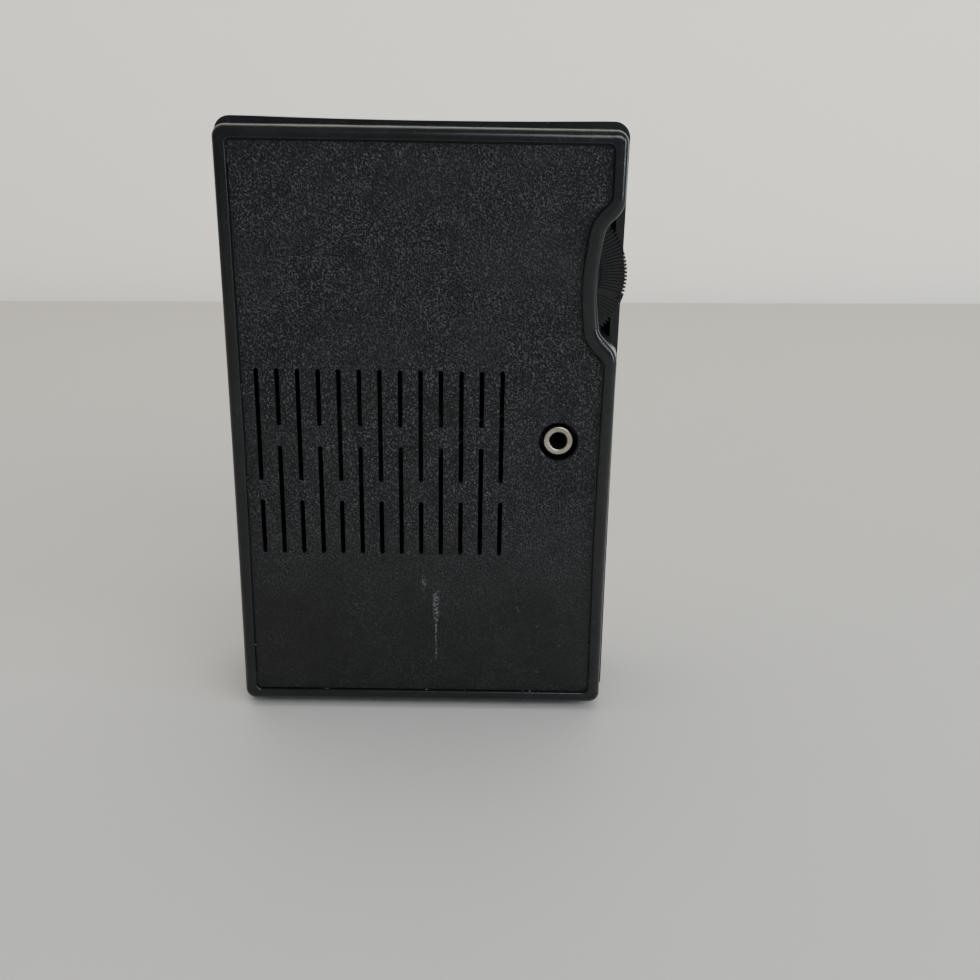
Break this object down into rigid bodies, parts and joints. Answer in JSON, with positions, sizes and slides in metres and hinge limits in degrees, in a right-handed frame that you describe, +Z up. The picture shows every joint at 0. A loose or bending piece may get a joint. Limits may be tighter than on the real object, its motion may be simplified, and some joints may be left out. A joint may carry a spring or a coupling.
{
  "type": "transistor pocket radio",
  "caption": "Upright pocket radio with slotted, grained rear cover, side volume wheel, earphone jack, front tuning dial, speaker and battery inside.",
  "frame": {"origin": "middle of the outer box at table level, under the feet", "axes": "+Z up as the radio stands, -Y out of the front with the tuning dial, +Y out of the rear cover, -X the side with the volume wheel"},
  "size_m": [0.0785, 0.032, 0.1212],
  "materials": {
    "case_black": "satin moulded black",
    "cover_black": "leather-grained moulded black",
    "wheel_black": "ribbed black",
    "grille_metal": "satin with dark lacquer",
    "dial_metal": "brushed",
    "pointer_red": "gloss",
    "knob_black": "gloss",
    "nickel": "worn nickel plate",
    "steel": "zinc plate",
    "shaft_brass": "turned",
    "capacitor_clear": "milky moulded",
    "control_case": "dull plated can",
    "felt": "felt",
    "basket_steel": "plated pressed steel",
    "cone_paper": "pressed paper",
    "magnet_iron": "dull ferrite",
    "board_phenolic": "phenolic laminate",
    "coil_wire": "enamelled copper, waxed",
    "holder_plastic": "moulded",
    "can_metal": "plated can",
    "core_colours": "painted ferrite cores",
    "core_steel": "lacquered laminations",
    "electrolytic_sleeve": "shrink sleeve",
    "transistor_black": "moulded",
    "resistor_body": "lacquered",
    "ceramic_disc": "dipped ceramic",
    "jack_plastic": "moulded",
    "battery_jacket": "printed metal jacket",
    "terminal_metal": "plated",
    "snap_vinyl": "soft vinyl",
    "foam": "foam"
  },
  "bodies": {
    "radio": {"aerial_coil": "coil_wire", "aerial_holders": "holder_plastic", "battery": "battery_jacket", "battery_pad": "foam", "battery_snap": "snap_vinyl", "battery_terminals": "terminal_metal", "board_screws": "steel", "circuit_board": "board_phenolic", "dial_plate": "dial_metal", "dial_pointer": "pointer_red", "disc_capacitors": "ceramic_disc", "driver_transformer": "core_steel", "driver_transformer_winding": "coil_wire", "earphone_bushing": "nickel", "earphone_jack_body": "jack_plastic", "electrolytic_1": "electrolytic_sleeve", "electrolytic_2": "electrolytic_sleeve", "electrolytic_3": "electrolytic_sleeve", "ferrite_rod": "magnet_iron", "front_housing": "case_black", "output_transformer": "core_steel", "output_transformer_winding": "coil_wire", "resistors": "resistor_body", "speaker_cone": "cone_paper", "speaker_frame": "basket_steel", "speaker_gasket": "felt", "speaker_grille": "grille_metal", "speaker_magnet": "magnet_iron", "strap_pin": "nickel", "transistor_1": "transistor_black", "transistor_2": "transistor_black", "transistor_3": "transistor_black", "transistor_4": "transistor_black", "transistor_5": "transistor_black", "transistor_6": "transistor_black", "tuned_can_1": "can_metal", "tuned_can_2": "can_metal", "tuned_can_3": "can_metal", "tuned_can_4": "can_metal", "tuning_capacitor": "capacitor_clear", "tuning_cores": "core_colours", "volume_control": "control_case"},
    "volume_wheel": {"volume_wheel": "wheel_black", "volume_shaft": "shaft_brass", "volume_screw": "steel"},
    "tuning_dial": {"tuning_knob": "knob_black", "tuning_cap": "dial_metal", "tuning_shaft": "steel", "tuning_screw": "steel"},
    "rear_cover": {"rear_cover": "cover_black"}
  },
  "joints": [
    {"name": "volume_turn", "type": "hinge", "parent": "radio", "child": "volume_wheel", "pos_m": [-0.0256, 0.01, 0.093], "axis": [0, 1, 0], "range_deg": [-150, 150]},
    {"name": "tuning_turn", "type": "hinge", "parent": "radio", "child": "tuning_dial", "pos_m": [0.015, -0.015, 0.1005], "axis": [0, 1, 0], "range_deg": [-90, 90]},
    {"name": "cover_release", "type": "slide", "parent": "radio", "child": "rear_cover", "axis": [0, 1, 0], "range_m": [0, 0.03]}
  ]
}
